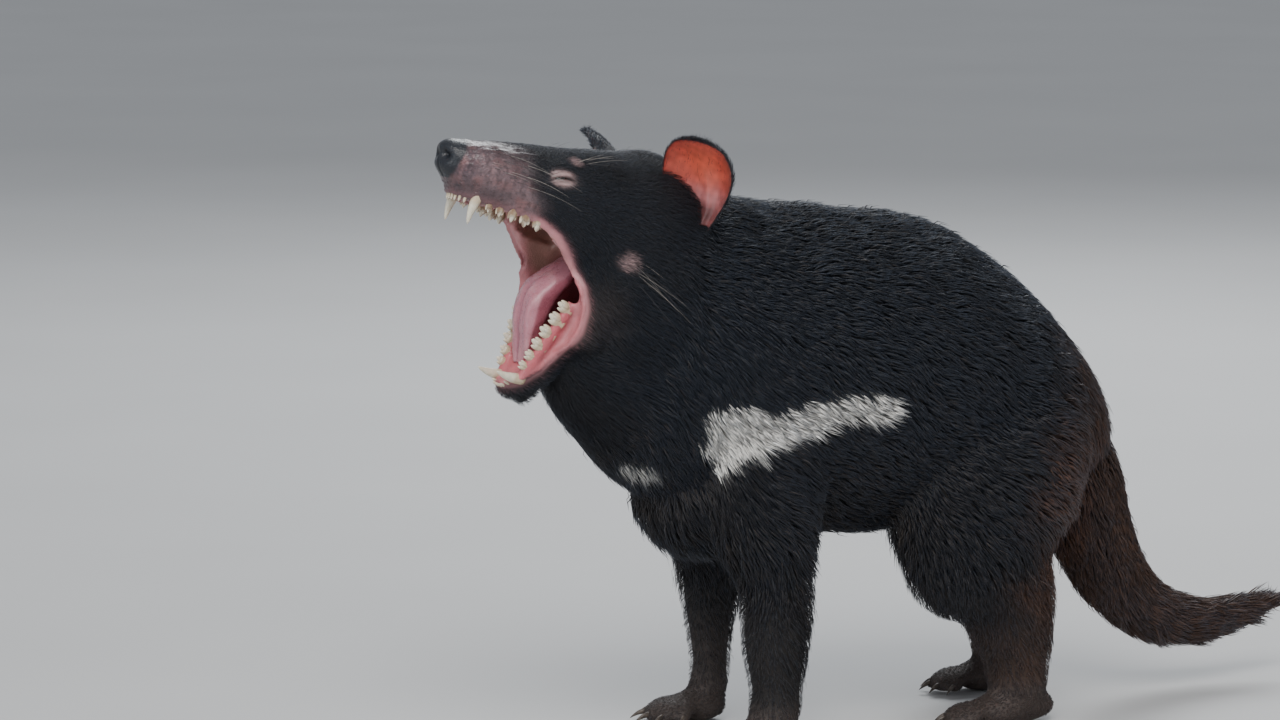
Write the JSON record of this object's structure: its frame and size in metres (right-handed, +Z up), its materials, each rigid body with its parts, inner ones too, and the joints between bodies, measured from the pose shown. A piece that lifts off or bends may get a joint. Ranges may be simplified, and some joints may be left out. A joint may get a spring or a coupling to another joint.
{
  "type": "tasmanian devil model",
  "caption": "Life-size standing tasmanian devil with its mouth wide open, short legs, round ears and a fat bushy tail.",
  "frame": {"origin": "the middle of the bounding box, on the floor plane, under the trunk", "axes": "+Z up, the animal faces -X, and its left side is at -Y"},
  "size_m": [0.637, 0.1672, 0.3793],
  "materials": {
    "black_fur": "black fur with bluish sheen",
    "brown_fur": "dark reddish brown fur",
    "ear_skin": "thin pink skin",
    "eye_glass": "dark glossy",
    "mouth_skin": "moist pink skin",
    "nose_skin": "moist blue-black skin",
    "paw_skin": "dark skin, scant hair"
  },
  "bodies": {
    "root": {"ear_left": "ear_skin", "ear_right": "ear_skin", "eye_left": "eye_glass", "eye_right": "eye_glass", "foreleg_left": "black_fur", "foreleg_right": "black_fur", "forepaw_left": "paw_skin", "forepaw_right": "paw_skin", "head": "black_fur", "hindleg_left": "black_fur", "hindleg_right": "black_fur", "hindpaw_left": "paw_skin", "hindpaw_right": "paw_skin", "lower_jaw": "black_fur", "neck": "black_fur", "nose": "nose_skin", "tail": "brown_fur", "tongue": "mouth_skin", "torso": "black_fur"}
  },
  "joints": []
}
